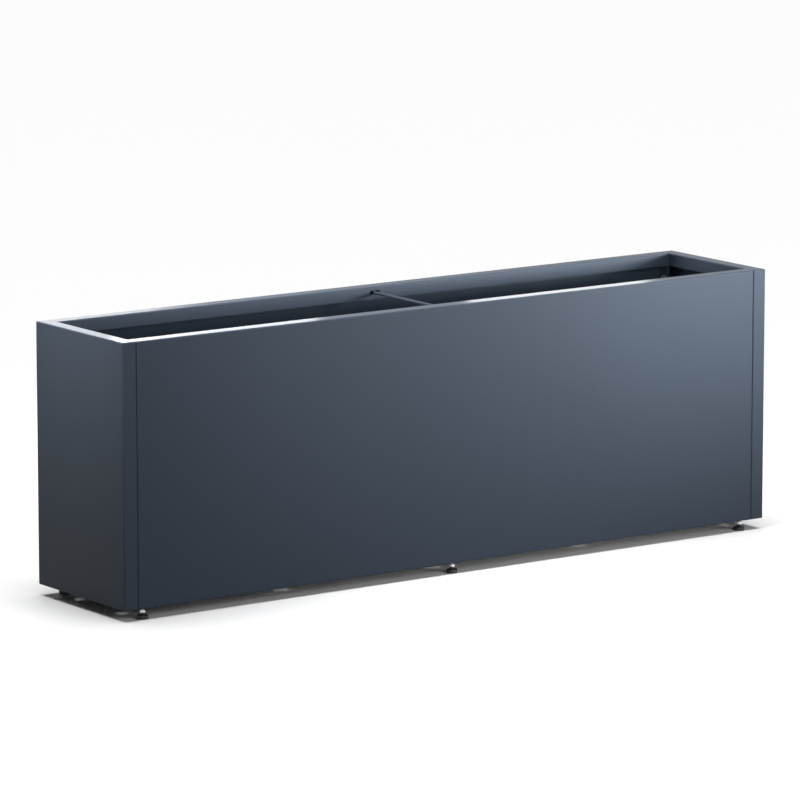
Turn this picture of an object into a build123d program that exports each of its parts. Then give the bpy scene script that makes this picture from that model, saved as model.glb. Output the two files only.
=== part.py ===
"""Rectangular sheet-steel planter on six levelling feet, with a tie bar across its mouth.

Millimetres. The origin is on the ground under the middle of the planter. +X runs along the
long walls, -Y is the front and +Z is up. Left is -X.
"""
import math
import os

from build123d import *

# Sheet body
length = 1500.0
width = 300.0
body_height = 500.0
sheet = 1.5
bend_inside = 1.0
rim_width = 30.0
lip_depth = 25.0
return_width = 30.0
joint_gap = 0.2

# Corner joints
joint_bolt_inset = 18.0
joint_bolt_lowest = 70.0
joint_bolt_drop = 51.0
joint_bolts_per_corner = 4
bolt_diameter = 6.0
bolt_hole_play = 0.3
bolt_collar_diameter = 14.0
bolt_collar_height = 1.2
bolt_hex_height = 4.0
bolt_tip = 2.0
nut_hex_height = 5.0
hex_sides = 6
hex_across_flats = 10.0
hex_chamfer = 0.6
thread_play = 0.05

# Tie bar
tie_diameter = 6.0
tie_slot_length = 24.0
tie_slot_play = 1.0
tie_head_play = 2.0
tie_head_thickness = 5.0
tie_head_room = 0.8
tie_rest_gap = 0.3
tie_edge = 0.8

# Levelling feet
foot_inset_x = 48.0
foot_inset_y = 15.0
pad_diameter = 22.0
pad_base_height = 7.5
pad_edge = 1.8
pad_shoulder = 2.0
pad_shoulder_diameter = 12.0
pad_neck_diameter = 8.5
pad_height = 12.0
socket_floor = 2.8
collar_diameter = 8.0
collar_height = 1.5
swivel_play = 0.1
pad_play = 0.3
stud_hex_height = 4.5
stud_bare_thread = 4.2
stud_reserve = 13.5
stud_headroom = 2.3
stud_tip = 0.8
weld_nut_height = 5.0

# Floor
crossbars_per_bay = 2
crossbar_web = 40.0
crossbar_foot = 15.0
crossbar_end_play = 1.0
tray_play = 2.5
tray_edge_height = 15.0
drain_diameter = 12.0
drain_row_spacing = 140.0
rivet_diameter = 4.8
rivet_hole_play = 0.05
rivet_head_diameter = 9.5
rivet_head_height = 1.4
rivet_bulb_diameter = 7.2
rivet_bulb_height = 3.5
rivet_dome_share = 0.9
rivet_bulb_round_share = 0.25

# Heights worked out from the foot upwards
hex_bottom = pad_height + pad_play
hex_top = hex_bottom + stud_hex_height
body_bottom = hex_top + stud_bare_thread
body_top = body_bottom + body_height
flange_top = body_bottom + sheet
rim_underside = body_top - sheet
lip_bottom = body_top - lip_depth
nut_top = flange_top + weld_nut_height
stud_top = nut_top + stud_reserve
crossbar_height = weld_nut_height + stud_reserve + stud_bare_thread + stud_headroom
tray_bottom = flange_top + crossbar_height
tray_top = tray_bottom + sheet

# Edges this close to a place are taken as standing at it
same_place = 0.1

# Places worked out from the body: bottom and joint flanges are as wide as the rim
bend_outside = bend_inside + sheet
half_length = length / 2
half_width = width / 2
seam_x = half_length - return_width
side_end_x = seam_x - joint_gap / 2
end_start_x = seam_x + joint_gap / 2
lip_y = half_width - rim_width
wall_inside_y = half_width - sheet
wall_inside_x = half_length - sheet
foot_x = half_length - foot_inset_x
foot_y = half_width - foot_inset_y
joint_bolt_y = half_width - joint_bolt_inset
joint_bolt_pitch = (body_height - joint_bolt_drop - joint_bolt_lowest) / (joint_bolts_per_corner - 1)
tray_y = wall_inside_y - tray_play
crossbar_end_y = tray_y - sheet - crossbar_end_play
crossbar_pitch = foot_x / crossbars_per_bay

# Tie bar fit: the heads turn under the rim, the rod lies near the bottom of its slots
tie_slot_height = tie_diameter + 2 * tie_slot_play
tie_head_length = tie_slot_length - 2 * tie_head_play
tie_head_sweep = math.hypot(tie_head_length, tie_diameter) / 2
tie_z = rim_underside - tie_head_sweep - tie_head_room
tie_slot_z = tie_z + tie_slot_play - tie_rest_gap
tie_head_y = lip_y + sheet + tie_rest_gap

sides = {"front": -1, "back": 1}
ends = {"left": -1, "right": 1}
foot_places = {"left": -foot_x, "middle": 0.0, "right": foot_x}
joint_bolt_heights = [
    body_bottom + joint_bolt_lowest + step * joint_bolt_pitch for step in range(joint_bolts_per_corner)
]
crossbar_places = [
    (2 * (step - crossbars_per_bay) + 1) * crossbar_pitch / 2 for step in range(2 * crossbars_per_bay)
]
drain_places = [
    (step - crossbars_per_bay) * crossbar_pitch for step in range(2 * crossbars_per_bay + 1)
]


def span(x0, x1, y0, y1, z0, z1):
    """Block between two corners."""
    centre = Pos((x0 + x1) / 2, (y0 + y1) / 2, (z0 + z1) / 2)
    return centre * Box(x1 - x0, y1 - y0, z1 - z0)


def edges_at(shape, **place):
    """Edges whose middle lies at the given X, Y or Z values."""
    found = []
    for edge in shape.edges():
        middle = edge.center()
        if all(abs(getattr(middle, axis) - value) < same_place for axis, value in place.items()):
            found.append(edge)
    return found


def rounded(shape, radius, *places):
    """Shape with the edges at each of the given places rounded."""
    edges = [edge for place in places for edge in edges_at(shape, **place)]
    return fillet(edges, radius)


def rod(diameter, low, high):
    """Upright cylinder between two heights."""
    return Pos(0, 0, (low + high) / 2) * Cylinder(diameter / 2, high - low)


def hex_prism(across_flats, low, high):
    """Upright hexagon between two heights, with its corners eased at both faces."""
    outline = RegularPolygon(across_flats / 2, hex_sides, major_radius=False)
    prism = Pos(0, 0, low) * extrude(outline, high - low)
    across_corners = across_flats / math.cos(math.pi / hex_sides)
    easing = chamfer(rod(across_corners, low, high).edges().filter_by(GeomType.CIRCLE), hex_chamfer)
    return prism & easing


def rivet_offsets():
    """Rivets through the two feet of one crossbar, counted from the middle of the bar."""
    offset = (crossbar_web + crossbar_foot) / 2
    rivet_y = (lip_y + crossbar_end_y) / 2
    return [(turn * offset, side * rivet_y) for turn in ends.values() for side in sides.values()]


def rivet_places():
    """Rivets that hold the crossbars to the bottom flanges of the long walls."""
    return [(bar_x + x, y) for bar_x in crossbar_places for x, y in rivet_offsets()]


def back_panel():
    """Back wall folded from one sheet: rim, lip, bottom flange and a joint flange at each end."""
    outer = span(-side_end_x, side_end_x, lip_y, half_width, body_bottom, body_top)
    outer = rounded(
        outer,
        bend_outside,
        {"Y": half_width, "Z": body_top},
        {"Y": half_width, "Z": body_bottom},
        {"Y": lip_y, "Z": body_top},
        {"X": side_end_x, "Y": half_width},
        {"X": -side_end_x, "Y": half_width},
    )
    inner_x = side_end_x - sheet
    inner = span(-inner_x, inner_x, lip_y + sheet, wall_inside_y, flange_top, rim_underside)
    inner = rounded(
        inner,
        bend_inside,
        {"Y": wall_inside_y, "Z": rim_underside},
        {"Y": wall_inside_y, "Z": flange_top},
        {"Y": lip_y + sheet, "Z": rim_underside},
        {"X": inner_x, "Y": wall_inside_y},
        {"X": -inner_x, "Y": wall_inside_y},
    )
    panel = outer - inner
    panel -= span(-inner_x, inner_x, lip_y, lip_y + sheet, flange_top, lip_bottom)

    slot = SlotOverall(tie_slot_length, tie_slot_height)
    slot = extrude(Plane.XZ * slot, rim_width, both=True)
    panel -= Pos(0, lip_y, tie_slot_z) * slot & span(
        -tie_slot_length, tie_slot_length, lip_y, lip_y + sheet, lip_bottom, body_top
    )
    foot_hole = rod(bolt_diameter + 2 * bolt_hole_play, body_bottom, flange_top)
    for place in foot_places.values():
        panel -= Pos(place, foot_y, 0) * foot_hole
    rivet_hole = rod(rivet_diameter + 2 * rivet_hole_play, body_bottom, flange_top)
    for x, y in rivet_places():
        if y > 0:
            panel -= Pos(x, y, 0) * rivet_hole
    panel -= joint_holes()
    return panel


def joint_holes():
    """Bolt holes through the joint flanges at the two back corners."""
    reach = joint_gap + 2 * sheet
    hole = Rot(0, 90, 0) * rod(bolt_diameter + 2 * bolt_hole_play, -reach, reach)
    return [
        Pos(end * seam_x, joint_bolt_y, height) * hole
        for end in ends.values()
        for height in joint_bolt_heights
    ]


def right_end_panel():
    """End wall that wraps round onto the long faces, with joint flanges, rim and lip."""
    outer = span(end_start_x, half_length, -half_width, half_width, body_bottom, body_top)
    outer = rounded(
        outer,
        bend_outside,
        {"X": half_length, "Z": body_top},
        {"X": half_length, "Z": body_bottom},
        {"X": half_length, "Y": half_width},
        {"X": half_length, "Y": -half_width},
        {"X": end_start_x, "Y": half_width},
        {"X": end_start_x, "Y": -half_width},
        {"Y": half_width, "Z": body_top},
        {"Y": -half_width, "Z": body_top},
        {"Y": half_width, "Z": body_bottom},
        {"Y": -half_width, "Z": body_bottom},
    )
    inner_x = end_start_x + sheet
    inner = span(inner_x, wall_inside_x, -wall_inside_y, wall_inside_y, flange_top, rim_underside)
    inner = rounded(
        inner,
        bend_inside,
        {"X": wall_inside_x, "Z": rim_underside},
        {"X": wall_inside_x, "Z": flange_top},
        {"X": wall_inside_x, "Y": wall_inside_y},
        {"X": wall_inside_x, "Y": -wall_inside_y},
        {"X": inner_x, "Y": wall_inside_y},
        {"X": inner_x, "Y": -wall_inside_y},
        {"Y": wall_inside_y, "Z": rim_underside},
        {"Y": -wall_inside_y, "Z": rim_underside},
        {"Y": wall_inside_y, "Z": flange_top},
        {"Y": -wall_inside_y, "Z": flange_top},
    )
    panel = outer - inner
    panel -= span(end_start_x, inner_x, -lip_y, lip_y, flange_top, rim_underside)

    # The lip folds down along the mouth between the two long walls
    fold_x = end_start_x + bend_outside + sheet
    panel -= span(end_start_x, fold_x, -lip_y, lip_y, lip_bottom, body_top)
    fold = span(end_start_x, fold_x, -lip_y, lip_y, lip_bottom, body_top)
    fold = rounded(fold, bend_outside, {"X": end_start_x, "Z": body_top})
    room = span(inner_x, fold_x, -lip_y, lip_y, lip_bottom, rim_underside)
    room = rounded(room, bend_inside, {"X": inner_x, "Z": rim_underside})
    panel += fold - room

    panel -= joint_holes()
    panel -= [mirror(hole, Plane.XZ) for hole in joint_holes()]
    return panel


def joint_bolt():
    """Hexagon bolt with a collar, along +X, with the underside of its collar at the origin."""
    shank_length = 2 * sheet + joint_gap + bolt_collar_height + nut_hex_height + bolt_tip
    shank = chamfer(rod(bolt_diameter, 0, shank_length).edges().group_by(Axis.Z)[-1], bolt_tip / 2)
    collar = rod(bolt_collar_diameter, -bolt_collar_height, 0)
    head = hex_prism(hex_across_flats, -bolt_collar_height - bolt_hex_height, -bolt_collar_height)
    return Rot(0, 90, 0) * (shank + collar + head)


def joint_nut():
    """Hexagon nut with a collar, along +X, with the face of its collar at the origin."""
    collar = rod(bolt_collar_diameter, 0, bolt_collar_height)
    body = hex_prism(hex_across_flats, bolt_collar_height, bolt_collar_height + nut_hex_height)
    bore = rod(bolt_diameter + 2 * thread_play, 0, bolt_collar_height + nut_hex_height)
    return Rot(0, 90, 0) * (collar + body - bore)


def corner_fasteners(fastener, start, side, end):
    """One fastener at each height of a corner joint, starting at a distance past the seam."""
    turn = 0 if end > 0 else 180
    return [
        Pos(end * (seam_x + start), side * joint_bolt_y, height) * Rot(0, 0, turn) * fastener
        for height in joint_bolt_heights
    ]


def tie_bar():
    """Round bar along Y with a hammer head on each end, its heads upright behind the lips."""
    bar = Rot(90, 0, 0) * rod(tie_diameter, -tie_head_y, tie_head_y)
    head = Box(tie_diameter, tie_head_thickness, tie_head_length)
    head = chamfer(edges_at(head, Z=tie_head_length / 2) + edges_at(head, Z=-tie_head_length / 2), tie_edge)
    for side in sides.values():
        bar += Pos(0, side * (tie_head_y + tie_head_thickness / 2), 0) * head
    return Pos(0, 0, tie_z) * bar


def foot_pad():
    """Moulded swivel pad with a socket that holds the collar of its stud."""
    base = rod(pad_diameter, 0, pad_base_height)
    base = fillet(base.edges().filter_by(GeomType.CIRCLE), pad_edge)
    shoulder = Pos(0, 0, pad_base_height + pad_shoulder / 2) * Cone(
        pad_shoulder_diameter / 2, pad_neck_diameter / 2, pad_shoulder
    )
    neck = rod(pad_neck_diameter, 0, pad_height)
    cavity_top = socket_floor + collar_height + 2 * pad_play
    cavity = rod(collar_diameter + 2 * swivel_play, socket_floor, cavity_top)
    bore = rod(bolt_diameter + 2 * thread_play, socket_floor, pad_height)
    return base + shoulder + neck - cavity - bore


def foot_stud():
    """Levelling stud: a collar in the pad, a hexagon for the wrench and a long thread."""
    collar_bottom = socket_floor + pad_play
    collar = rod(collar_diameter, collar_bottom, collar_bottom + collar_height)
    stem = rod(bolt_diameter, collar_bottom, stud_top)
    stem = chamfer(stem.edges().group_by(Axis.Z)[-1], stud_tip)
    return collar + stem + hex_prism(hex_across_flats, hex_bottom, hex_top)


def weld_nut():
    """Hexagon nut welded on a bottom flange over a foot's hole."""
    bore = rod(bolt_diameter + 2 * thread_play, flange_top, nut_top)
    return hex_prism(hex_across_flats, flange_top, nut_top) - bore


def crossbar():
    """Hat-section bar across the planter that stands on the two bottom flanges."""
    half_web = crossbar_web / 2
    foot_end = half_web + crossbar_foot
    tunnel_x = half_web - sheet
    tunnel_top = tray_bottom - sheet
    block = rounded(
        span(-half_web, half_web, -crossbar_end_y, crossbar_end_y, flange_top, tray_bottom),
        bend_outside,
        {"X": half_web, "Z": tray_bottom},
        {"X": -half_web, "Z": tray_bottom},
    )
    tunnel = rounded(
        span(-tunnel_x, tunnel_x, -crossbar_end_y, crossbar_end_y, flange_top, tunnel_top),
        bend_inside,
        {"X": tunnel_x, "Z": tunnel_top},
        {"X": -tunnel_x, "Z": tunnel_top},
    )
    feet = span(-foot_end, foot_end, -crossbar_end_y, crossbar_end_y, flange_top, flange_top + sheet)
    hole = rod(rivet_diameter + 2 * rivet_hole_play, flange_top, flange_top + sheet)
    holes = [Pos(x, y, 0) * hole for x, y in rivet_offsets()]
    return block + feet - tunnel - holes


def rivet():
    """Blind rivet: domed head under the flange, shank, and bulb on top of the crossbar's foot."""
    head = rod(rivet_head_diameter, body_bottom - rivet_head_height, body_bottom)
    head = fillet(head.edges().group_by(Axis.Z)[0], rivet_head_height * rivet_dome_share)
    grip_top = flange_top + sheet
    shank = rod(rivet_diameter, body_bottom, grip_top)
    bulb = rod(rivet_bulb_diameter, grip_top, grip_top + rivet_bulb_height)
    bulb = fillet(bulb.edges().group_by(Axis.Z)[-1], rivet_bulb_diameter * rivet_bulb_round_share)
    return head + shank + bulb


def floor_tray():
    """Soil floor on the crossbars, notched round the corner joints, with its edges turned down."""
    low = tray_top - tray_edge_height
    long_x = side_end_x - sheet - tray_play
    short_x = wall_inside_x - tray_play
    short_y = lip_y - tray_play
    under_x = short_x - sheet
    under_y = tray_y - sheet
    long_part = rounded(
        span(-long_x, long_x, -tray_y, tray_y, low, tray_top),
        bend_outside,
        {"Y": tray_y, "Z": tray_top},
        {"Y": -tray_y, "Z": tray_top},
    )
    short_part = rounded(
        span(-short_x, short_x, -short_y, short_y, low, tray_top),
        bend_outside,
        {"X": short_x, "Z": tray_top},
        {"X": -short_x, "Z": tray_top},
    )
    long_room = rounded(
        span(-long_x, long_x, -under_y, under_y, low, tray_bottom),
        bend_inside,
        {"Y": under_y, "Z": tray_bottom},
        {"Y": -under_y, "Z": tray_bottom},
    )
    short_room = rounded(
        span(-under_x, under_x, -short_y, short_y, low, tray_bottom),
        bend_inside,
        {"X": under_x, "Z": tray_bottom},
        {"X": -under_x, "Z": tray_bottom},
    )
    hole = rod(drain_diameter, tray_bottom, tray_top)
    holes = [
        Pos(drain_x, side * drain_row_spacing / 2, 0) * hole
        for drain_x in drain_places
        for side in sides.values()
    ]
    return long_part + short_part - long_room - short_room - holes


def write(name, shapes):
    """Write one node, a single solid or a group of separate solids."""
    solids = [solid for shape in shapes for solid in shape.solids()]
    shape = solids[0] if len(solids) == 1 else Compound(children=solids)
    export_step(shape, f"parts/{name}.step")


os.makedirs("parts", exist_ok=True)

# Walls
back = back_panel()
right_end = right_end_panel()
write("back_panel", [back])
write("front_panel", [mirror(back, Plane.XZ)])
write("right_end_panel", [right_end])
write("left_end_panel", [mirror(right_end, Plane.YZ)])

# Corner joints: the bolt heads face the planting space, the nuts sit in the corner pockets
bolt = joint_bolt()
nut = joint_nut()
for side_name, side in sides.items():
    for end_name, end in ends.items():
        corner = f"{side_name}_{end_name}"
        write(f"corner_bolts_{corner}", corner_fasteners(bolt, -joint_gap / 2 - sheet, side, end))
        write(f"corner_nuts_{corner}", corner_fasteners(nut, joint_gap / 2 + sheet, side, end))

# Tie bar
write("tie_bar", [tie_bar()])

# Feet
pad = foot_pad()
stud = foot_stud()
nut_over_foot = weld_nut()
weld_nuts = []
for side_name, side in sides.items():
    for place_name, place_x in foot_places.items():
        place = Pos(place_x, side * foot_y, 0)
        write(f"foot_pad_{side_name}_{place_name}", [place * pad])
        write(f"foot_stud_{side_name}_{place_name}", [place * stud])
        weld_nuts.append(place * nut_over_foot)
write("foot_weld_nuts", weld_nuts)

# Floor
bar = crossbar()
blind_rivet = rivet()
for number, bar_x in enumerate(crossbar_places, start=1):
    write(f"crossbar_{number}", [Pos(bar_x, 0, 0) * bar])
write("crossbar_rivets", [Pos(x, y, 0) * blind_rivet for x, y in rivet_places()])
write("floor_tray", [floor_tray()])
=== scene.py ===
# %% [markdown]
# # A long sheet-steel planter
# This notebook dresses a measured model of a planter: four walls folded from 1.5 mm sheet and
# bolted at the corners, a bar across the mouth, a raised floor on four hat-section bars, and six
# screw feet. The measured model comes first, and every piece made here takes its place from it.

# %% Load the measured model
import math

import bmesh
import bpy
from mathutils import Matrix, Vector


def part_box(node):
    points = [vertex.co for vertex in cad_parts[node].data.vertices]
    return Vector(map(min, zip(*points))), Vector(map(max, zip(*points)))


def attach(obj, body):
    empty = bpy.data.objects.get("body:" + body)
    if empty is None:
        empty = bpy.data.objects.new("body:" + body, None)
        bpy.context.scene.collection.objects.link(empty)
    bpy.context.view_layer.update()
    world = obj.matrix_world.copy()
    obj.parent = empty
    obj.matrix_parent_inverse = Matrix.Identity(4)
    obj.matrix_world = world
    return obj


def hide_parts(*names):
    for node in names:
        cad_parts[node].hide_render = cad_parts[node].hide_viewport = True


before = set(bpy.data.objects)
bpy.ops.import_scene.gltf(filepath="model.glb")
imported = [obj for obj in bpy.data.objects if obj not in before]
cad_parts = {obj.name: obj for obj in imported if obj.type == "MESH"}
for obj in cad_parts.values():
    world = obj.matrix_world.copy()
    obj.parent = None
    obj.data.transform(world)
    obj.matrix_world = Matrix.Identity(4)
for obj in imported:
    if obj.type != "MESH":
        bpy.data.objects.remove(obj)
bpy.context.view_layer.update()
mm = 0.001

# %% [markdown]
# ## Working by hand, in code
# Blender's operators act on what is selected. These helpers do what the mouse would: put down
# what is held, take one piece, and pick some of its edges or faces by where they are.
# The numbers of edges and faces could be used for picking instead, but they change with every
# step. Picking by place stays readable, because a fold line is simply "y here and z there".


# %% Take and pick
same_place = 0.02 * mm


def put_down():
    """Leaves edit mode, so that nothing is being edited and nothing is selected."""
    if bpy.context.object and bpy.context.object.mode != "OBJECT":
        bpy.ops.object.mode_set(mode="OBJECT")
    bpy.ops.object.select_all(action="DESELECT")


def take(piece):
    """Makes one piece the only selected and active object, in object mode."""
    put_down()
    piece.select_set(True)
    bpy.context.view_layer.objects.active = piece


def pick(piece, kind, wanted):
    """Opens a piece for editing, with its edges or faces selected whose middle passes a test."""
    take(piece)
    bpy.ops.object.mode_set(mode="EDIT")
    bpy.ops.mesh.select_mode(type={"edges": "EDGE", "faces": "FACE"}[kind])
    bpy.ops.mesh.select_all(action="DESELECT")
    shape = bmesh.from_edit_mesh(piece.data)
    for item in getattr(shape, kind):
        corners = [corner.co for corner in item.verts]
        if wanted(sum(corners, Vector()) / len(corners)):
            item.select_set(True)
    bmesh.update_edit_mesh(piece.data)


def near(a, b):
    """True where two lengths agree closely enough to be the same place."""
    return abs(a - b) < same_place


print("an edge or face is picked when it lies within", same_place / mm, "mm of its place")

# %% [markdown]
# A modifier can stay live on a piece, but the next step by hand then works on the old mesh. So
# each one is applied as soon as it is added. Shapes that are one piece of metal are joined.


# %% Apply and join
def apply(piece, kind, **settings):
    """Adds a modifier with its settings and applies it."""
    take(piece)
    modifier = piece.modifiers.new(kind.title(), kind)
    for name, value in settings.items():
        setattr(modifier, name, value)
    bpy.ops.object.modifier_apply(modifier=modifier.name)


def join(pieces):
    """Joins several pieces into the first one."""
    if len(pieces) == 1:
        return pieces[0]
    take(pieces[0])
    for piece in pieces:
        piece.select_set(True)
    bpy.ops.object.join()
    return bpy.context.object


# %% [markdown]
# ## Starting shapes
# Sheet starts as a block, and holes and bars start as rods. Both are plain primitives, added at
# their size and place. Their place is then put into the mesh, so that every finished piece keeps
# its object at the origin, as the measured ones do.


# %% Blocks and rods
def block(low, high):
    """Box between two corners."""
    put_down()
    low, high = Vector(map(min, low, high)), Vector(map(max, low, high))
    bpy.ops.mesh.primitive_cube_add(size=1, location=(low + high) / 2, scale=high - low)
    bpy.ops.object.transform_apply(location=True, rotation=True, scale=True)
    return bpy.context.object


def rod(radius, axis, middle, length, sides=32):
    """Round bar along one axis, about its middle."""
    put_down()
    turn = {"x": (0, math.pi / 2, 0), "y": (math.pi / 2, 0, 0), "z": (0, 0, 0)}[axis]
    bpy.ops.mesh.primitive_cylinder_add(
        vertices=sides, radius=radius, depth=length, location=middle, rotation=turn
    )
    bpy.ops.object.transform_apply(location=True, rotation=True, scale=True)
    return bpy.context.object


# %% [markdown]
# Whatever is round with steps in it is turned, like work in a lathe: an outline is drawn point
# by point and spun round the Z axis. Stacked cylinders could stand in for that, but their joints
# would show in every close view. The outline's points are given in millimetres, as (radius,
# height), and the seam where the spin closes is merged.

# %% Turned shapes
merge_distance = 0.001 * mm


def drawn(outline):
    """Open line through (radius, height) points in millimetres, standing on the XZ plane."""
    put_down()
    bpy.ops.mesh.primitive_plane_add(size=mm)
    piece = bpy.context.object
    bpy.ops.object.mode_set(mode="EDIT")
    bpy.ops.mesh.select_mode(type="VERT")
    bpy.ops.mesh.select_all(action="SELECT")
    bpy.ops.mesh.merge(type="CENTER")
    here = Vector((0, 0, 0))
    for number, (radius, height) in enumerate(outline):
        there = Vector((radius, 0, height)) * mm
        if number:
            bpy.ops.mesh.extrude_vertices_move(TRANSFORM_OT_translate={"value": there - here})
        else:
            bpy.ops.transform.translate(value=there)
        here = there
    return piece


def turned(outline, steps=48):
    """Spins an outline round the Z axis into a closed shape."""
    piece = drawn(outline)
    bpy.ops.mesh.select_all(action="SELECT")
    bpy.ops.mesh.spin(steps=steps, angle=2 * math.pi, center=(0, 0, 0), axis=(0, 0, 1))
    bpy.ops.mesh.select_all(action="SELECT")
    bpy.ops.mesh.remove_doubles(threshold=merge_distance)
    bpy.ops.mesh.normals_make_consistent(inside=False)
    bpy.ops.object.mode_set(mode="OBJECT")
    return piece


# %% [markdown]
# ## Holes and hexagons
# Holes in sheet are punched. Cutting them into the face by hand would mean joining each round
# edge to the flat round it, so a boolean takes rods out of the piece in one step. The same
# modifier mills a hexagon: a real nut is turned first and milled to six sides after, so what is
# kept is what lies inside both the turned blank and a six-sided bar. That gives the rounded
# corners and the dished face of a real head without picking a single edge.


# %% Cutting and hexagons
half_flats = 5.0
milled_corner = 5.7


def cut(piece, cutters, operation="DIFFERENCE"):
    """Cuts the joined cutters out of a piece, or keeps only what lies inside them."""
    tool = join(cutters)
    apply(piece, "BOOLEAN", operation=operation, object=tool, solver="EXACT")
    bpy.data.objects.remove(tool)


def hexagon(outline):
    """What a turned blank keeps when it is milled to six sides."""
    heights = [height * mm for _, height in outline]
    low, high = min(heights), max(heights)
    sharp_corner = half_flats * mm / math.cos(math.pi / 6)
    bar = rod(sharp_corner, "z", (0, 0, (low + high) / 2), high - low + 2 * mm, sides=6)
    bar.data.transform(Matrix.Rotation(math.pi / 6, 4, "Z"))
    cut(bar, [turned(outline, steps=60)], operation="INTERSECT")
    return bar


print("hexagons across flats, mm:", 2 * half_flats, "across corners:", 2 * milled_corner)

# %% [markdown]
# ## Grain, an effect that several finishes share
# A sprayed, plated or moulded surface has a fine skin, and slow patches over it where it is a
# little lighter or duller. A picture of it could be wrapped round each piece, but it would need
# unwrapping and would repeat. Noise that reads Object coordinates has a real size in metres and
# stays where it is from every side. It is a node group, so each finish gives it its own scale.


# %% Node group for grain
def new_group(name, inputs, outputs):
    """Empty shader node group with named number inputs and outputs."""
    group = bpy.data.node_groups.new(name, "ShaderNodeTree")
    for label, value in inputs.items():
        socket = group.interface.new_socket(label, in_out="INPUT", socket_type="NodeSocketFloat")
        socket.default_value = value
    for label in outputs:
        group.interface.new_socket(label, in_out="OUTPUT", socket_type="NodeSocketFloat")
    return group, group.nodes.new("NodeGroupInput"), group.nodes.new("NodeGroupOutput")


def grain_group():
    """Fine grain and slow patches, both from 0 to 1."""
    densities = {"Grains per metre": 600, "Patches per metre": 5}
    group, into, out = new_group("surface_grain", densities, ["Grain", "Patches"])
    place = group.nodes.new("ShaderNodeTexCoord")
    details = {"Grain": 2, "Patches": 4}
    for (label, detail), density in zip(details.items(), densities):
        noise = group.nodes.new("ShaderNodeTexNoise")
        noise.inputs["Detail"].default_value = detail
        group.links.new(place.outputs["Object"], noise.inputs["Vector"])
        group.links.new(into.outputs[density], noise.inputs["Scale"])
        group.links.new(noise.outputs["Fac"], out.inputs[label])
    return group


grain = grain_group()
print("node group:", grain.name)

# %% [markdown]
# ## Spangle, the frost flowers of zinc
# When dipped sheet cools, the zinc freezes into flat crystals that meet in straight lines, each
# with its own tone. Noise would be too soft for that. Voronoi cells are such crystals: the
# colour of a cell gives it a tone, and the distance to its edge draws the line round it.


# %% Node group for spangle
border_width = 0.12


def spangle_group():
    """Zinc crystals: a tone for each crystal and a raised line between them."""
    group, into, out = new_group("zinc_spangle", {"Crystals per metre": 90}, ["Crystal", "Border"])
    place = group.nodes.new("ShaderNodeTexCoord")
    cells = group.nodes.new("ShaderNodeTexVoronoi")
    borders = group.nodes.new("ShaderNodeTexVoronoi")
    borders.feature = "DISTANCE_TO_EDGE"
    for texture in (cells, borders):
        group.links.new(place.outputs["Object"], texture.inputs["Vector"])
        group.links.new(into.outputs["Crystals per metre"], texture.inputs["Scale"])
    tone = group.nodes.new("ShaderNodeSeparateColor")
    group.links.new(cells.outputs["Color"], tone.inputs["Color"])
    group.links.new(tone.outputs["Red"], out.inputs["Crystal"])
    line = group.nodes.new("ShaderNodeMapRange")
    line.inputs["From Max"].default_value = border_width
    group.links.new(borders.outputs["Distance"], line.inputs["Value"])
    group.links.new(line.outputs["Result"], out.inputs["Border"])
    return group


spangle = spangle_group()
print("node group:", spangle.name)

# %% [markdown]
# ## The finishes
# Every finish is a Principled shader. What is the same all over, such as how metallic it is, is
# set on the shader itself, and only what changes over the surface comes in through a link: the
# colour drifts between two close tones, the roughness wanders, and the grain lifts the surface
# by hundredths of a millimetre through a Bump node.


# %% Shader with an effect group
def finish_nodes(name, group, settings, **constants):
    """Material with a Principled shader and one effect group in it."""
    material = bpy.data.materials.new(name)
    material.use_nodes = True
    nodes, links = material.node_tree.nodes, material.node_tree.links
    shader = nodes["Principled BSDF"]
    for socket, value in constants.items():
        shader.inputs[socket.replace("_", " ")].default_value = value
    effect = nodes.new("ShaderNodeGroup")
    effect.node_tree = group
    for label, value in settings.items():
        effect.inputs[label].default_value = value
    return material, nodes, links, shader, effect


# %% [markdown]
# Colour, roughness and relief are driven in the same way in each finish: a mask from the effect
# group goes through one node to the shader's socket. A colour ramp could do it all, but a mix, a
# range and a bump say plainly what each of them changes.

# %% Drift, wander and relief
noise_middle = (0.3, 0.7)


def drift(nodes, links, mask, dark, light, target):
    """Colour that drifts between two tones as a mask changes."""
    mix = nodes.new("ShaderNodeMix")
    mix.data_type = "RGBA"
    mix.inputs["A"].default_value = (*dark, 1)
    mix.inputs["B"].default_value = (*light, 1)
    links.new(mask, mix.inputs["Factor"])
    links.new(mix.outputs["Result"], target)


def wander(nodes, links, mask, low, high, target):
    """Value that wanders between two limits as a mask changes."""
    spread = nodes.new("ShaderNodeMapRange")
    spread.inputs["From Min"].default_value, spread.inputs["From Max"].default_value = noise_middle
    spread.inputs["To Min"].default_value = low
    spread.inputs["To Max"].default_value = high
    links.new(mask, spread.inputs["Value"])
    links.new(spread.outputs["Result"], target)


def relief(nodes, links, height, strength, depth, shader):
    """Fine relief that catches the light."""
    bump = nodes.new("ShaderNodeBump")
    bump.inputs["Strength"].default_value = strength
    bump.inputs["Distance"].default_value = depth
    links.new(height, bump.inputs["Height"])
    links.new(bump.outputs["Normal"], shader.inputs["Normal"])


print("most of the noise lies between", noise_middle)

# %% [markdown]
# Blue-grey powder coat: sprayed dry and baked, so it is satin, even, and has the faint orange
# peel of melted powder, about a millimetre and a half from crest to crest. Its sheen is soft
# face on and strong at a grazing angle, which a low specular level on a dark colour gives. A
# clear layer over it would look like wet lacquer.

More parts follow.
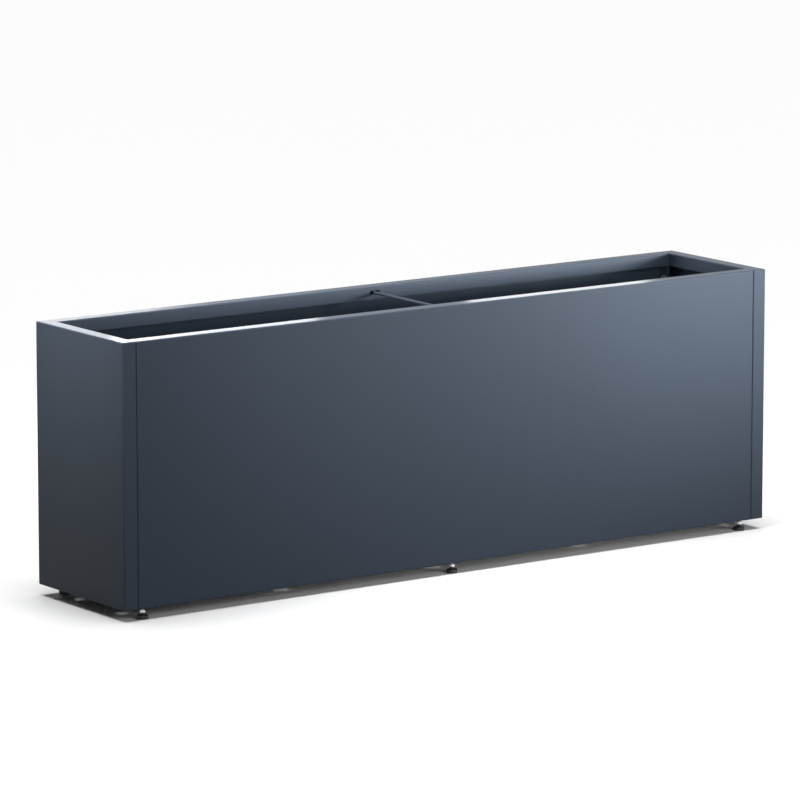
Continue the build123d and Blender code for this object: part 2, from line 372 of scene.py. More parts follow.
# %% Powder coat
coat, nodes, links, shader, effect = finish_nodes(
    "anthracite_powder_coat", grain, {"Grains per metre": 650, "Patches per metre": 4},
    Specular_IOR_Level=0.08, Metallic=0.0,
)
coat_dark, coat_light = (0.049, 0.064, 0.089), (0.053, 0.069, 0.095)
drift(nodes, links, effect.outputs["Patches"], coat_dark, coat_light, shader.inputs["Base Color"])
wander(nodes, links, effect.outputs["Grain"], 0.34, 0.40, shader.inputs["Roughness"])
relief(nodes, links, effect.outputs["Grain"], 0.25, 0.03 * mm, shader)
print("finish:", coat.name)

# %% [markdown]
# Galvanised sheet inside: the floor and its bars are dipped in zinc, which freezes into
# crystals about a centimetre across, each a little lighter or darker and duller or brighter. A
# plain grey metal would look like foil, so the crystals set both the tone and the roughness.

# %% Galvanised sheet
galvanised, nodes, links, shader, effect = finish_nodes(
    "galvanised_sheet", spangle, {"Crystals per metre": 95}, Metallic=1.0,
)
crystal_dark, crystal_light = (0.40, 0.42, 0.43), (0.58, 0.60, 0.61)
drift(nodes, links, effect.outputs["Crystal"], crystal_dark, crystal_light, shader.inputs["Base Color"])
wander(nodes, links, effect.outputs["Crystal"], 0.36, 0.52, shader.inputs["Roughness"])
relief(nodes, links, effect.outputs["Border"], 0.3, 0.02 * mm, shader)
print("finish:", galvanised.name)

# %% [markdown]
# Zinc plating on the small steel parts is thin and even, and a little blue. It is brighter here
# and duller there after handling, in patches of about a centimetre. The spangle would be wrong
# on it, because plating grows in a bath and doesn't freeze, so it takes the grain and patches.

# %% Zinc plating
zinc, nodes, links, shader, effect = finish_nodes(
    "zinc_plating", grain, {"Grains per metre": 2500, "Patches per metre": 120}, Metallic=1.0,
)
plate_dark, plate_light = (0.52, 0.55, 0.58), (0.68, 0.70, 0.72)
drift(nodes, links, effect.outputs["Patches"], plate_dark, plate_light, shader.inputs["Base Color"])
wander(nodes, links, effect.outputs["Patches"], 0.24, 0.40, shader.inputs["Roughness"])
relief(nodes, links, effect.outputs["Grain"], 0.15, 0.01 * mm, shader)
print("finish:", zinc.name)

# %% [markdown]
# Black nylon on the swivel pads is moulded, and the mould's spark-eroded steel leaves a fine
# matt texture all over. It could be modelled, but its pits are too fine to be seen one by one,
# so the same grain at a higher density lifts the surface and spreads the highlight.

# %% Black nylon
nylon, nodes, links, shader, effect = finish_nodes(
    "black_nylon", grain, {"Grains per metre": 1800, "Patches per metre": 60},
    Specular_IOR_Level=0.45, Metallic=0.0,
)
nylon_dark, nylon_light = (0.010, 0.010, 0.011), (0.016, 0.016, 0.017)
drift(nodes, links, effect.outputs["Patches"], nylon_dark, nylon_light, shader.inputs["Base Color"])
wander(nodes, links, effect.outputs["Grain"], 0.40, 0.55, shader.inputs["Roughness"])
relief(nodes, links, effect.outputs["Grain"], 0.35, 0.03 * mm, shader)
print("finish:", nylon.name)

# %% [markdown]
# ## Handing a piece over
# A finished piece gets soft shading on its bends and true normals on its flats, so that a wall
# reflects like a flat sheet and not like a pillow. Then it is named, painted, tied to the body
# it moves with, and put in the place of the measured solid that it stands for.


# %% Finish a piece
smooth_below = math.radians(35)


def hand_over(piece, name, body, slot, material, *stands_for):
    """Shades, names and paints a piece, ties it to its body and hides the solids it stands for."""
    take(piece)
    bpy.ops.object.shade_smooth_by_angle(angle=smooth_below)
    apply(piece, "WEIGHTED_NORMAL", keep_sharp=True)
    piece.name = name
    piece.data.name = name
    piece.data.materials.clear()
    piece.data.materials.append(material)
    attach(piece, body)
    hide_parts(*stands_for)
    size = [round(length / mm, 1) for length in piece.dimensions]
    print(name, "faces:", len(piece.data.polygons), "size, mm:", size)


print("edges are smooth below", round(math.degrees(smooth_below)), "degrees")

# %% [markdown]
# ## The sheet and its folds
# Walls, floor and bars are all 1.5 mm sheet, folded in a press. A folded edge is never sharp: it
# has the radius of the tool. The bend could be drawn into every profile, but here it is rolled
# on at the end, because a bevel on the fold line is the same step as the fold itself. Then
# Solidify gives the skin its thickness towards the inside.

# %% Sizes of the sheet work
sheet = 1.5 * mm
bend = 2.5 * mm
bend_steps = 5
lip_depth = 25 * mm
wall_low, wall_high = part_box("back_panel")
end_low, end_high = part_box("right_end_panel")
body_low, body_top = wall_low.z, wall_high.z
lip_low = body_top - lip_depth
lip_y, wall_y = wall_low.y, wall_high.y
print("wall:", [round(v / mm, 1) for v in (wall_high.x, lip_y, wall_y, body_low, body_top)])


def fold(radius=bend):
    """Rounds the picked fold lines."""
    bpy.ops.mesh.bevel(
        offset_type="OFFSET", offset=radius, segments=bend_steps, profile=0.5, affect="EDGES",
        clamp_overlap=False,
    )


def thicken(piece):
    """Gives a folded skin the sheet's thickness, towards the inside."""
    apply(piece, "SOLIDIFY", thickness=sheet, offset=-1, use_even_offset=True)


# %% [markdown]
# ## Where the fasteners sit
# Holes are punched before the sheet is folded, and the bolts, feet and rivets then follow them.
# Their places could be typed in, but they would stay behind if the measured model changed. So
# they are worked out from the boxes of the measured pieces, and both the holes and the
# fasteners read them from here.

# %% Fasteners' places
sides = {"front": -1, "back": 1}
ends = {"left": -1, "right": 1}
bolt_low, bolt_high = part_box("corner_bolts_back_right")
bolt_radius = 7 * mm
bolt_y = (bolt_low.y + bolt_high.y) / 2
bolts_per_corner = 4
bolt_pitch = (bolt_high.z - bolt_low.z - 2 * bolt_radius) / (bolts_per_corner - 1)
bolt_heights = [bolt_low.z + bolt_radius + step * bolt_pitch for step in range(bolts_per_corner)]
feet = {}
for side in sides:
    for place in ("left", "middle", "right"):
        low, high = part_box(f"foot_pad_{side}_{place}")
        feet[f"{side}_{place}"] = (low + high) / 2
bars = [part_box(f"crossbar_{number}") for number in (1, 2, 3, 4)]
hat_foot = 15 * mm
rivet_out = (bars[0][1].x - bars[0][0].x - hat_foot) / 2
rivet_y = (lip_y + bars[0][1].y) / 2
rivets = [
    Vector(((low.x + high.x) / 2 + turn * rivet_out, side * rivet_y, 0))
    for low, high in bars for turn in (-1, 1) for side in (-1, 1)
]
print("bolts at", [round(z / mm, 1) for z in bolt_heights], "rivets:", len(rivets))
print("a rivet, mm from its bar's middle:", round(rivet_out / mm, 2), "and", round(rivet_y / mm, 2))

# %% [markdown]
# The tie bar goes through an oblong slot in each lip, 24 by 8 mm with round ends. The bar lies
# near the bottom of it, so the slot's middle is a little above the bar's. Two rods and a block
# would cut it as well. One block with its four corners rounded right over makes a single
# cutter, with no seams where the parts meet.

# %% Slot for the tie bar
slot_length, slot_height = 24 * mm, 8 * mm
tie_low, tie_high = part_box("tie_bar")
tie_z = (tie_low.z + tie_high.z) / 2
slot_z = tie_z + 0.7 * mm


def slot_cutter(side):
    """Round-ended slot for the tie bar, through the lip."""
    low = (-slot_length / 2, side * (lip_y - sheet), slot_z - slot_height / 2)
    high = (slot_length / 2, side * (lip_y + 2 * sheet), slot_z + slot_height / 2)
    cutter = block(low, high)
    pick(cutter, "edges", lambda m: near(abs(m.x), slot_length / 2) and not near(m.z, slot_z))
    rounding = slot_height / 2 - 0.01 * mm
    bpy.ops.mesh.bevel(offset=rounding, segments=10, affect="EDGES", clamp_overlap=False)
    return cutter


print("slot's middle, mm:", round(slot_z / mm, 1), "tie bar's:", round(tie_z / mm, 1))

# %% [markdown]
# ## The long walls
# Each long wall is one sheet: a face 500 mm high, a rim folded in at the top with a short lip
# down, a flange folded in at the bottom, and a flange at each end for the corner bolts. It could
# be drawn as a profile and swept, but the end flanges would be missing. So a closed box becomes
# the sheet: the parts that the sheet doesn't have are deleted, the fold lines are rounded, the
# skin is thickened, and the holes are cut.


# %% Fold a long wall
bolt_hole, rivet_hole = 3.3 * mm, 2.45 * mm
through = 10 * mm


def at_rim_or_bottom(m):
    """True at the level of the rim or of the bottom flange."""
    return near(m.z, body_top) or near(m.z, body_low)


def long_wall(side):
    """Front or back wall with its rim, lip and flanges."""
    wall = block((-wall_high.x, side * lip_y, body_low), (wall_high.x, side * wall_y, body_top))
    pick(wall, "faces", lambda m: near(abs(m.y), lip_y) or near(abs(m.x), wall_high.x))
    bpy.ops.mesh.bisect(plane_co=(0, 0, lip_low), plane_no=(0, 0, 1))
    pick(wall, "faces", lambda m: near(abs(m.y), lip_y) and m.z < lip_low)
    bpy.ops.mesh.delete(type="FACE")
    pick(wall, "edges", lambda m: (
        near(abs(m.y), wall_y) and (at_rim_or_bottom(m) or near(abs(m.x), wall_high.x))
        or near(abs(m.y), lip_y) and near(m.z, body_top)
    ))
    fold()
    thicken(wall)
    cutters = [slot_cutter(side)]
    for end in ends.values():
        for height in bolt_heights:
            cutters.append(rod(bolt_hole, "x", (end * wall_high.x, side * bolt_y, height), through))
    for places, radius in ((feet.values(), bolt_hole), (rivets, rivet_hole)):
        for place in places:
            if place.y * side > 0:
                cutters.append(rod(radius, "z", (place.x, place.y, body_low), through))
    cut(wall, cutters)
    return wall


for name, side in sides.items():
    hand_over(long_wall(side), f"wall_{name}", "planter_body", "anthracite_paint", coat, f"{name}_panel")

# %% [markdown]
# ## The end walls
# An end wall wraps 30 mm round onto both long faces, so the seams lie on the faces and the
# corners themselves are bends. It starts from a block too. Its inner face is cut into a frame:
# a lip under the mouth and a bolting flange at each side. A short slit at each end of the lip
# lets it fold down by itself, which is what the relief cut in real sheet work is for.


# %% Fold an end wall
slit = 3 * mm


def end_wall(end):
    """Left or right end with its wrap-round returns, flanges, rim and lip."""
    panel = block((end * end_low.x, -wall_y, body_low), (end * end_high.x, wall_y, body_top))
    for cut_y in (-lip_y, lip_y):
        pick(panel, "faces", lambda m: near(abs(m.x), end_low.x) or near(m.z, body_top))
        bpy.ops.mesh.bisect(plane_co=(0, cut_y, 0), plane_no=(0, 1, 0))
    pick(panel, "faces", lambda m: near(abs(m.x), end_low.x))
    bpy.ops.mesh.bisect(plane_co=(0, 0, lip_low), plane_no=(0, 0, 1))
    pick(panel, "faces", lambda m: near(m.z, body_top))
    bpy.ops.mesh.bisect(plane_co=(end * (end_low.x + slit), 0, 0), plane_no=(1, 0, 0))
    pick(panel, "faces", lambda m: near(abs(m.x), end_low.x) and abs(m.y) < lip_y and m.z < lip_low)
    bpy.ops.mesh.delete(type="FACE")
    pick(panel, "edges", lambda m: near(abs(m.y), lip_y) and (
        near(abs(m.x), end_low.x) and m.z > lip_low
        or near(m.z, body_top) and abs(m.x) < end_low.x + slit
    ))
    bpy.ops.mesh.edge_split(type="EDGE")
    pick(panel, "edges", lambda m: (
        near(abs(m.x), end_high.x) and (at_rim_or_bottom(m) or near(abs(m.y), wall_y))
        or near(abs(m.y), wall_y) and (at_rim_or_bottom(m) or near(abs(m.x), end_low.x))
        or near(abs(m.x), end_low.x) and near(m.z, body_top) and abs(m.y) < lip_y
    ))
    fold()
    thicken(panel)
    cut(panel, [
        rod(bolt_hole, "x", (end * end_low.x, side * bolt_y, height), through)
        for side in sides.values() for height in bolt_heights
    ])
    return panel


for name, end in ends.items():
    hand_over(end_wall(end), f"end_{name}", "planter_body", "anthracite_paint", coat, f"{name}_end_panel")

# %% [markdown]
# ## The raised floor
# The floor is a tray with its edges turned down and its corners left out, so that it drops in
# between the corner joints. A flat plate with a rim added would need its corners cut by hand.
# A box that loses its underside and its four corner columns has them at once. Then the long and
# short edges are rounded, and ten drain holes are cut. Rivets hold the bars, not the tray.

# %% Fold the floor tray
tray_low, tray_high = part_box("floor_tray")
tray_play = 2.5 * mm
notch_x, notch_y = wall_high.x - sheet - tray_play, lip_y - tray_play
drain_radius, drain_row = 6 * mm, 70 * mm
tray = block(tray_low, tray_high)
for x, y in ((notch_x, 0), (-notch_x, 0), (0, notch_y), (0, -notch_y)):
    pick(tray, "faces", lambda m: True)
    bpy.ops.mesh.bisect(plane_co=(x, y, 0), plane_no=Vector((x, y, 0)).normalized())
pick(tray, "faces", lambda m: near(m.z, tray_low.z) or abs(m.x) > notch_x and abs(m.y) > notch_y)
bpy.ops.mesh.delete(type="FACE")
pick(tray, "edges", lambda m: near(m.z, tray_high.z) and (
    near(abs(m.x), tray_high.x) or near(abs(m.y), tray_high.y)
))
fold()
thicken(tray)
drain_pitch = bars[1][0].x - bars[0][0].x
cut(tray, [
    rod(drain_radius, "z", (step * drain_pitch, side * drain_row, tray_high.z), through, sides=40)
    for step in (-2, -1, 0, 1, 2) for side in (-1, 1)
])
hand_over(tray, "tray", "planter_body", "galvanised_sheet", galvanised, "floor_tray")

# %% [markdown]
# Each bar under the floor is a hat section: a web with two sides and two feet. A curve with that
# profile could be bevelled along a line. Starting from a block keeps the folds where the other
# sheets have them: it loses its underside and its ends, and the lower edges are extruded
# outwards into the feet.


# %% Fold the crossbars
def hat_bar(low, high):
    """Hat-section bar between two corners, its feet along the bottom."""
    low_x, high_x = low.x + hat_foot, high.x - hat_foot
    foot_z = low.z + sheet
    bar = block((low_x, low.y, foot_z), (high_x, high.y, high.z))
    pick(bar, "faces", lambda m: near(m.z, foot_z) or near(abs(m.y), high.y))
    bpy.ops.mesh.delete(type="FACE")
    for edge_x, move in ((low_x, -hat_foot), (high_x, hat_foot)):
        pick(bar, "edges", lambda m: near(m.x, edge_x) and near(m.z, foot_z))
        bpy.ops.mesh.extrude_edges_move(TRANSFORM_OT_translate={"value": (move, 0, 0)})
    pick(bar, "edges", lambda m: near(m.z, high.z) and not near(abs(m.y), high.y))
    fold()
    pick(bar, "edges", lambda m: near(m.z, foot_z) and (near(m.x, low_x) or near(m.x, high_x)))
    fold(bend - sheet)
    thicken(bar)
    return bar


for number, (low, high) in enumerate(bars, start=1):
    hand_over(
        hat_bar(low, high), f"bar_{number}", "planter_body", "galvanised_sheet", galvanised,
        f"crossbar_{number}",
    )

# %% [markdown]
# ## Threads
# A thread is a ridge wound round a core. Rings stacked along the rod would look alike from far
# off, but each would close on itself, and the eye sees that a ring doesn't climb. So the ridge's
# cross-section is drawn once, the Screw modifier winds it up by one pitch a turn, and its two
# ends are filled. Its sizes are in millimetres, as those of the outlines are.


# %% Threaded rod
def wound(ridge_outline, pitch, turns):
    """Closed ridge wound round the Z axis, climbing by one pitch a turn."""
    ridge = drawn(ridge_outline)
    bpy.ops.mesh.select_all(action="SELECT")
    bpy.ops.mesh.remove_doubles(threshold=merge_distance)
    apply(
        ridge, "SCREW", angle=2 * math.pi, screw_offset=pitch * mm, iterations=turns, steps=28,
        render_steps=28, axis="Z", use_smooth_shade=False,
    )
    pick(ridge, "faces", lambda m: True)
    bpy.ops.mesh.select_all(action="SELECT")
    bpy.ops.mesh.remove_doubles(threshold=merge_distance)
    bpy.ops.mesh.select_mode(type="EDGE")
    bpy.ops.mesh.select_all(action="DESELECT")
    bpy.ops.mesh.select_non_manifold()
    bpy.ops.mesh.edge_face_add()
    bpy.ops.mesh.select_all(action="SELECT")
    bpy.ops.mesh.normals_make_consistent(inside=False)
    bpy.ops.object.mode_set(mode="OBJECT")
    return ridge


def thread(low, high, core=2.5, crest=2.97, pitch=1.0, chamfer=0.7):
    """Threaded rod along Z between two heights, with a chamfer at its upper end."""
    root, run_in, run_out = core - 0.05, 0.1, 1.2
    ridge = wound(
        [(root, 0.06), (crest, 0.44), (crest, 0.56), (root, 0.94), (root, 0.06)],
        pitch, turns=int((high - low) / pitch - run_out),
    )
    ridge.data.transform(Matrix.Translation((0, 0, (low + run_in) * mm)))
    shaft = turned(
        [(0, low), (core, low), (core, high - chamfer), (core - chamfer, high), (0, high)], steps=28,
    )
    return join([shaft, ridge])


print("threads: M6, one ridge a millimetre")

# %% [markdown]
# ## Bolts and nuts
# A flanged bolt is a turned collar and shank under a hexagon with a dished top, and its nut is a
# hexagon on the same collar, with a bore. One outline could hold both collar and head, but the
# milling would cut the collar too, so they are made apart and joined. One bolt and one nut are
# made, and every fastener in the corners is a copy of its mesh.

# %% Bolt and nut
bore = 3.05
collar_top = 1.3
collar_edge = [(4.6, collar_top), (6.6, 0.75), (6.95, 0.5), (6.95, 0.15), (6.8, 0)]
head_height = 5.2


def flanged_bolt():
    """Bolt along +Z whose collar's underside is at the origin."""
    shank, shank_end = 3.0, 4.6
    under_head = [(radius, -height) for radius, height in collar_edge]
    collar = turned([(0, -collar_top), *under_head, (shank, 0), (shank, shank_end), (0, shank_end)])
    head = hexagon([
        (0, -4.75), (3.2, -4.75), (3.6, -head_height), (half_flats, -head_height),
        (milled_corner, -4.8), (milled_corner, -1.1), (0, -1.1),
    ])
    return join([collar, head, thread(4.5, 11.4)])


def flanged_nut():
    """Nut along +Z whose collar's face is at the origin."""
    collar = turned([(bore, 0), *reversed(collar_edge), (bore, collar_top), (bore, 0)])
    body = hexagon([
        (bore, 1.1), (milled_corner, 1.1), (milled_corner, 5.8), (half_flats, 6.2), (3.5, 6.2),
        (bore, 5.8), (bore, 1.1),
    ])
    return join([collar, body])


bolt, nut = flanged_bolt(), flanged_nut()
print("bolt faces:", len(bolt.data.polygons), "nut faces:", len(nut.data.polygons))

# %% [markdown]
# Each corner has four bolts, with their heads on the long wall's flange and their nuts on the
# end wall's. Placing them by hand would mean 32 moves. A matrix takes each copy to its place: it
# is turned a little about its own axis, because no two bolts stop at the same angle, laid along
# X, turned to its end of the planter and then moved.


# %% Copies in the corners
def copies(master, places):
    """One joined piece of copies of a master, each moved by a matrix."""
    made = []
    for place in places:
        piece = master.copy()
        piece.data = master.data.copy()
        piece.data.transform(place)
        bpy.context.scene.collection.objects.link(piece)
        made.append(piece)
    return join(made)


along_x = Matrix.Rotation(math.pi / 2, 4, "Y")
turn_between_bolts = 0.7
bolt_start = bolt_low.x + head_height * mm
nut_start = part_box("corner_nuts_back_right")[0].x
for side_name, side in sides.items():
    for end_name, end in ends.items():
        corner = f"{side_name}_{end_name}"
        turn = Matrix.Identity(4) if end > 0 else Matrix.Rotation(math.pi, 4, "Z")
        for kind, master, start in (("bolts", bolt, bolt_start), ("nuts", nut, nut_start)):
            places = [
                Matrix.Translation((end * start, side * bolt_y, height)) @ turn @ along_x
                @ Matrix.Rotation(turn_between_bolts * step, 4, "Z")
                for step, height in enumerate(bolt_heights)
            ]
            hand_over(
                copies(master, places), f"{kind}_{corner}", "planter_body", "zinc_plating", zinc,
                f"corner_{kind}_{corner}",
            )
for master in (bolt, nut):
    bpy.data.objects.remove(master)

# %% [markdown]
# ## Rivets
# Blind rivets hold the bars' feet. Below, each shows a shallow dome with the stub of the pulled
# mandrel in its middle, and above, the swollen end that grips the sheet. Half a ball would do
# for the dome, but not for the stub and the swelling, so the whole rivet is one turned outline.
# Its heights are counted from the underside of the flange.

# %% Rivets
rivet_shank, rivet_grip = 2.4, 3.0
rivet_dome = [(0, -0.9), (0.9, -0.9), (1.0, -1.25), (1.9, -1.38), (3.2, -1.15), (4.3, -0.55), (4.75, 0)]
rivet_bulb = [(3.1, rivet_grip), (3.55, 3.6), (3.6, 4.6), (3.3, 5.7), (2.2, 6.4)]
mandrel_end = [(1.2, 6.5), (1.1, 6.2), (0, 6.2)]
rivet = turned(
    [*rivet_dome, (rivet_shank, 0), (rivet_shank, rivet_grip), *rivet_bulb, *mandrel_end], steps=32,
)
hand_over(
    copies(rivet, [Matrix.Translation((place.x, place.y, body_low)) for place in rivets]),
    "rivets", "planter_body", "zinc_plating", zinc, "crossbar_rivets",
)
bpy.data.objects.remove(rivet)

# %% [markdown]
# ## The six feet
# A foot is a moulded pad with a ball-like socket, and a steel stud whose hexagon takes a wrench.
# The pad slides up and down with the stud but doesn't turn with it, so they are two pieces on
# two bodies. The pad is round, so it is turned. Its lower and upper edges have the same
# rounding, which is written once and mirrored.

# %% Pad
pad_height = 7.5
pad_edge = [(9.2, 0), (9.9, 0.13), (10.5, 0.55), (10.87, 1.15), (11, 1.8)]
pad_edge_above = [(radius, pad_height - height) for radius, height in reversed(pad_edge)]
pad_collar = [(6.3, pad_height), (5.9, 7.7), (4.45, 9.3), (4.25, 9.6), (4.25, 11.7), (4.0, 12)]
socket = [(bore, 12), (bore, 4.9), (4.1, 4.9), (4.1, 2.8), (0, 2.8)]
pad = turned([(0, 0), *pad_edge, *pad_edge_above, *pad_collar, *socket], steps=56)
print("pad faces:", len(pad.data.polygons))

# %% [markdown]
# A stud has a button that sits in the pad's socket, a neck, a hexagon and a thread. Each of them
# could be its own piece, but it is one turned and milled part that always moves as one, so its
# shapes are joined.

# %% Stud
stud_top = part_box("foot_stud_front_left")[1].z / mm
hexagon_low, hexagon_high = 12.3, 16.8
stud_button = [(0, 3.1), (3.9, 3.1), (4.0, 3.2), (4.0, 4.5), (3.9, 4.6)]
stud_neck = turned([*stud_button, (3.0, 4.6), (2.95, 12.4), (0, 12.4)])
stud_hexagon = hexagon([
    (0, hexagon_low), (half_flats, hexagon_low), (milled_corner, 12.7), (milled_corner, 16.4),
    (half_flats, hexagon_high), (0, hexagon_high),
])
stud = join([stud_neck, stud_hexagon, thread(hexagon_high - 0.1, stud_top)])
print("stud faces:", len(stud.data.polygons), "top, mm:", round(stud_top, 1))

# %% [markdown]
# Six feet carry the planter, three along each long side. One array would place them all, but each
# moves by itself, so every foot gets its own pad and stud. The pads are turned a little from one
# foot to the next, as they would be after levelling.

# %% The feet in their places
turn_between_feet = 0.45
for number, (name, foot) in enumerate(feet.items()):
    here = Matrix.Translation((foot.x, foot.y, 0))
    turn = Matrix.Rotation(turn_between_feet * number, 4, "Z")
    hand_over(
        copies(pad, [here @ turn]), f"pad_{name}", f"pad_{name}", "black_nylon", nylon,
        f"foot_pad_{name}",
    )
    hand_over(
        copies(stud, [here]), f"stud_{name}", f"stud_{name}", "zinc_plating", zinc,
        f"foot_stud_{name}",
    )
for master in (pad, stud):
    bpy.data.objects.remove(master)

# %% [markdown]
# The stud climbs through a nut that is welded inside on the bottom flange, because sheet is too
# thin to hold a thread. It is a plain milled hexagon with a bore, so the corner nut could serve
# again, but a weld nut has no collar and is lower.

# %% Weld nuts
weld_nut = hexagon([
    (bore, 0), (5.4, 0), (milled_corner, 0.2), (milled_corner, 4.6), (half_flats, 5.0), (3.5, 5.0),
    (bore, 4.7), (bore, 0),
])
weld_nut_z = body_low + sheet
hand_over(
    copies(weld_nut, [Matrix.Translation((foot.x, foot.y, weld_nut_z)) for foot in feet.values()]),
    "weld_nuts", "planter_body", "zinc_plating", zinc, "foot_weld_nuts",
)
bpy.data.objects.remove(weld_nut)

# %% [markdown]
# ## The tie bar
# A round bar keeps the long walls from bowing under wet soil. A flat cross-head is welded on
# each end. It goes through the slot lying down and then stands up behind the lip, like a key in
# a keyhole. The weld could be left out, but the bar would seem to sink into its head. It shows as
# a small ring, so a torus half sunk into both stands for it.

# %% Tie bar
tie_radius, head_thickness = 3 * mm, 5 * mm
head_rounding, weld_radius, weld_set_in = 0.7 * mm, 0.7 * mm, 0.2 * mm
inner_end = tie_high.y - head_thickness
pieces = [rod(tie_radius, "y", (0, 0, tie_z), 2 * inner_end + 2 * mm, sides=40)]
for side in (-1, 1):
    head = block((-tie_radius, side * inner_end, tie_low.z), (tie_radius, side * tie_high.y, tie_high.z))
    pick(head, "edges", lambda m: (
        near(abs(m.x), tie_radius) or near(m.z, tie_low.z) or near(m.z, tie_high.z)
    ))
    bpy.ops.mesh.bevel(offset=head_rounding, segments=3, affect="EDGES", clamp_overlap=False)
    put_down()
    bpy.ops.mesh.primitive_torus_add(
        location=(0, side * (inner_end - weld_set_in), tie_z), rotation=(math.pi / 2, 0, 0),
        major_segments=40, minor_segments=10, major_radius=tie_radius, minor_radius=weld_radius,
    )
    bpy.ops.object.transform_apply(location=True, rotation=True, scale=True)
    pieces += [head, bpy.context.object]
hand_over(join(pieces), "cross_bar", "tie_bar", "anthracite_paint", coat, "tie_bar")

# %% [markdown]
# ## The floor
# The planter stands on a plain white floor. A floor that is white for every ray would throw so
# much light back that it washed out the dark paint from below, and a dark floor would look
# wrong. So it is white to the camera and in reflections, and dark for the light it bounces.

# %% Floor
floor_width = 80
bounce_tone, seen_tone = (0.05, 0.05, 0.05), (0.94, 0.94, 0.94)


def seen(nodes, links):
    """1 where a surface is seen by the camera or in a reflection or through glass, else 0."""
    path = nodes.new("ShaderNodeLightPath")
    total = path.outputs["Is Camera Ray"]
    for ray in ("Is Glossy Ray", "Is Transmission Ray"):
        either = nodes.new("ShaderNodeMath")
        either.operation = "MAXIMUM"
        links.new(total, either.inputs[0])
        links.new(path.outputs[ray], either.inputs[1])
        total = either.outputs["Value"]
    return total


put_down()
bpy.ops.mesh.primitive_plane_add(size=floor_width, location=(0, 0, 0))
floor = bpy.context.object
floor.name = "floor"
floor_look = bpy.data.materials.new("white_floor")
floor_look.use_nodes = True
nodes, links = floor_look.node_tree.nodes, floor_look.node_tree.links
shader = nodes["Principled BSDF"]
shader.inputs["Roughness"].default_value = 0.9
shader.inputs["Specular IOR Level"].default_value = 0.0
drift(nodes, links, seen(nodes, links), bounce_tone, seen_tone, shader.inputs["Base Color"])
floor.data.materials.append(floor_look)
print("stage:", floor.name)

# %% [markdown]
# ## The sky
# Behind the floor's edge the backdrop has to be plain white, but a white sky would light the
# planter evenly from all sides and take its shadow away. The same test of rays parts the two: a
# dim, slightly blue sky gives the light, and a white one is seen.

# %% Sky
sky_tone, sky_light = (0.96, 0.98, 1.0, 1), 0.06
world = bpy.data.worlds.new("sky")
bpy.context.scene.world = world
world.use_nodes = True
nodes, links = world.node_tree.nodes, world.node_tree.links
dim, white = nodes["Background"], nodes.new("ShaderNodeBackground")
dim.inputs["Color"].default_value = sky_tone
dim.inputs["Strength"].default_value = sky_light
white.inputs["Color"].default_value = (1, 1, 1, 1)
white.inputs["Strength"].default_value = 1.0
mix = nodes.new("ShaderNodeMixShader")
links.new(seen(nodes, links), mix.inputs["Fac"])
links.new(dim.outputs["Background"], mix.inputs[1])
links.new(white.outputs["Background"], mix.inputs[2])
links.new(mix.outputs["Shader"], nodes["World Output"].inputs["Surface"])
print("world:", world.name)

# %% [markdown]
# ## The lamps
# A soft sun overhead lights the floor and keeps the shadow under the planter. It can't give the
# long gradients on the faces, and a large soft box would light them evenly. So spots with a wide
# soft edge are aimed past the top of the long face and of the left end, and only their fading
# rim falls on the faces. The box behind and the two strips over the mouth are there for the
# rims, which mirror them at a low angle.


# %% Lamps
def lamp(name, kind, place, target, power, **settings):
    """Lamp at a place, looking at a target and out of the camera's own view."""
    light = bpy.data.lights.new(name, kind)
    light.energy = power
    for setting, value in settings.items():
        setattr(light, setting, value)
    holder = bpy.data.objects.new(name, light)
    bpy.context.scene.collection.objects.link(holder)
    holder.location = place
    holder.rotation_mode = "QUATERNION"
    holder.rotation_quaternion = (Vector(target) - Vector(place)).to_track_quat("-Z", "Y")
    holder.visible_camera = False


def feathered(degrees):
    """Settings of a spot with a soft edge over its whole cone."""
    return {"spot_size": math.radians(degrees), "spot_blend": 1.0, "shadow_soft_size": 0.3}


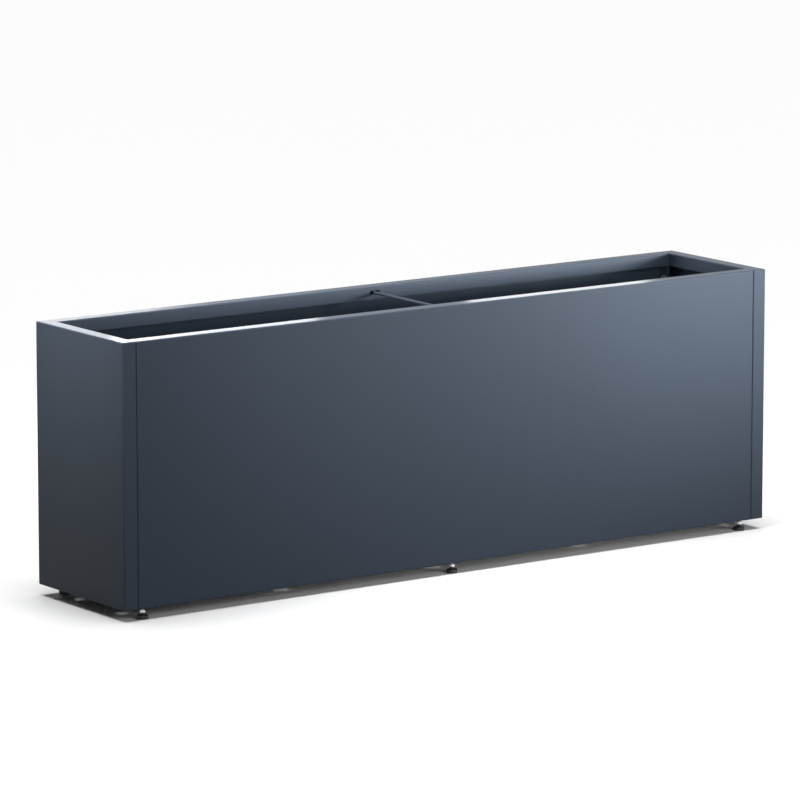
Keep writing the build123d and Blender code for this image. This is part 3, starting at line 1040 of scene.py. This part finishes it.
def soft_box(width, height):
    """Settings of a flat soft box."""
    return {"shape": "RECTANGLE", "size": width, "size_y": height}


lamp("sun_overhead", "SUN", (0, 0, 5), (0, 0.01, 0), 3.05, angle=math.radians(40))
lamp("spot_top_right", "SPOT", (2.9, -3.4, 0.84), (0.9, -0.15, 0.8), 1270, **feathered(22))
lamp("spot_top", "SPOT", (1.8, -3.4, 0.84), (0.3, -0.15, 0.8), 490, **feathered(30))
lamp("spot_end", "SPOT", (-3.0, -0.4, 2.6), (-0.75, 0, 0.78), 1050, **feathered(13))
lamp("box_front", "AREA", (0, -3.5, 1.6), (0, -0.15, 0.3), 46, **soft_box(2.5, 1.5))
lamp("box_rim", "AREA", (0.25, 1.92, 0.94), (-0.5, -0.1, 0.52), 6.5, **soft_box(0.75, 0.35))
lamp("strip_left", "AREA", (-0.38, 0.10, 0.57), (-0.38, -0.135, 0.521), 0.85, **soft_box(0.46, 0.09))
lamp("strip_right", "AREA", (0.43, 0.10, 0.57), (0.43, -0.135, 0.521), 0.80, **soft_box(0.44, 0.09))
print("lamps and their strengths:", {light.name: round(light.energy, 2) for light in bpy.data.lights})

# %% [markdown]
# ## The camera
# The view is from a little above and far off, with a long lens, which is why the planter's edges
# hardly run together. Moving the camera by eye would take many tries, so its place, direction
# and lens were solved from the corners of the body, and are set here as they came out.

# %% Camera
camera = bpy.data.cameras.new("camera")
camera.lens, camera.sensor_width = 252.51, 36
eye = bpy.data.objects.new("camera", camera)
bpy.context.scene.collection.objects.link(eye)
azimuth, elevation = math.radians(-35.31), math.radians(10.279)
back = Vector((
    math.sin(azimuth) * math.cos(elevation), -math.cos(azimuth) * math.cos(elevation), math.sin(elevation),
))
eye.location = (-6.1468, -8.6418, 2.2386)
eye.rotation_mode = "QUATERNION"
eye.rotation_quaternion = (-back).to_track_quat("-Z", "Y")
bpy.context.scene.camera = eye
bpy.context.scene.view_settings.view_transform = "Standard"
print("camera's distance from the middle of the floor, m:", round(eye.location.length, 2))
